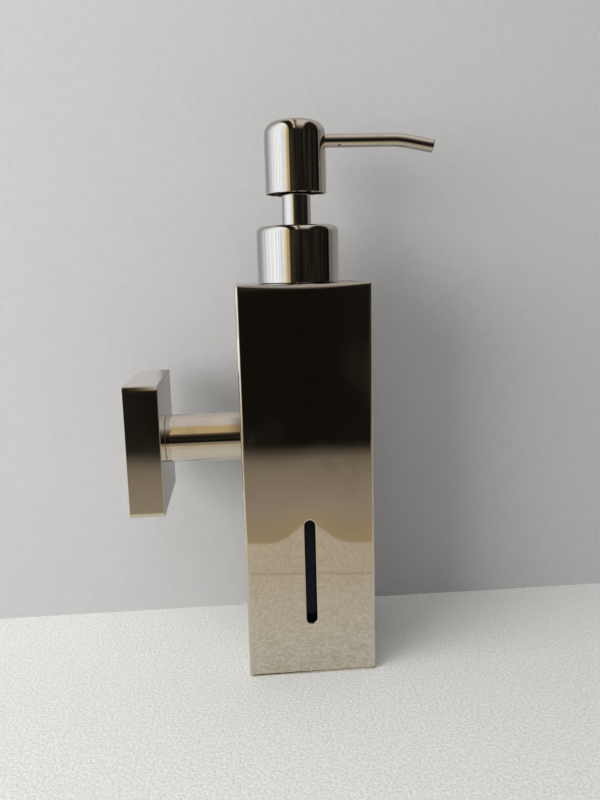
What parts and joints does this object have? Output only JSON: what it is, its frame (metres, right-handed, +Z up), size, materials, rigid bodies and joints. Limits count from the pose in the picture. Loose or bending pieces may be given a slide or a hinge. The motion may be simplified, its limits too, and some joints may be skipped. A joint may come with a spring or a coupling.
{
  "type": "wall mounted soap dispenser",
  "caption": "Polished square tube soap dispenser on a round arm and square wall flange, with a level slot, an inner bottle and a press pump with a bent spout.",
  "frame": {"origin": "centre of the flange's wall face, on the arm's axis", "axes": "+X away from the wall along the arm, +Z up, the level slot faces -Y"},
  "size_m": [0.1216, 0.05, 0.213],
  "materials": {
    "polished_steel": "polished",
    "plain_steel": "satin",
    "spring_steel": "satin",
    "ball_steel": "polished",
    "black_plastic": "matte",
    "bottle_plastic": "gloss",
    "pump_plastic": "matte",
    "piston_plastic": "satin",
    "seal_rubber": "matte"
  },
  "bodies": {
    "housing": {"wall_bracket": "plain_steel", "flange_cover": "polished_steel", "flange_set_screw": "plain_steel", "flange_screw": "plain_steel", "flange_lock_washer": "plain_steel", "arm_tube": "polished_steel", "arm_insert_flange_end": "plain_steel", "arm_insert_body_end": "plain_steel", "body_screw": "plain_steel", "body_tube": "polished_steel", "top_plate": "polished_steel", "base_plate": "polished_steel", "base_plug": "black_plastic", "liner_bottle": "bottle_plastic"},
    "pump": {"housing_gasket": "seal_rubber", "pump_housing": "pump_plastic", "guide_collar": "pump_plastic", "dip_tube": "pump_plastic", "ball_cage": "pump_plastic", "return_spring": "spring_steel"},
    "closure": {"collar_shell": "polished_steel", "closure_cap": "black_plastic"},
    "inlet_valve": {"inlet_ball": "ball_steel"},
    "plunger": {"piston": "piston_plastic"},
    "head": {"stem_tube": "pump_plastic", "stem_sleeve": "polished_steel", "head_core": "black_plastic", "head_shell": "polished_steel", "nozzle_tube": "polished_steel"},
    "outlet_valve": {"outlet_ball": "ball_steel"}
  },
  "joints": [
    {"name": "pump_lift", "type": "slide", "parent": "housing", "child": "pump", "axis": [0, 0, 1], "range_m": [0, 0.165]},
    {"name": "collar_turn", "type": "hinge", "parent": "pump", "child": "closure", "pos_m": [0.0675, 0, 0.07], "axis": [0, 0, 1], "range_deg": [0, 540]},
    {"name": "pump_press", "type": "slide", "parent": "pump", "child": "plunger", "axis": [0, 0, -1], "range_m": [0, 0.0115], "stiffness_N_per_m": 400, "springref_m": -0.01, "deforming": ["return_spring"]},
    {"name": "head_swivel", "type": "hinge", "parent": "plunger", "child": "head", "pos_m": [0.0675, 0, 0.1], "axis": [0, 0, 1], "continuous": true},
    {"name": "inlet_ball_lift", "type": "slide", "parent": "pump", "child": "inlet_valve", "axis": [0, 0, 1], "range_m": [0, 0.0015]},
    {"name": "outlet_ball_lift", "type": "slide", "parent": "head", "child": "outlet_valve", "axis": [0, 0, 1], "range_m": [0, 0.0015]}
  ]
}
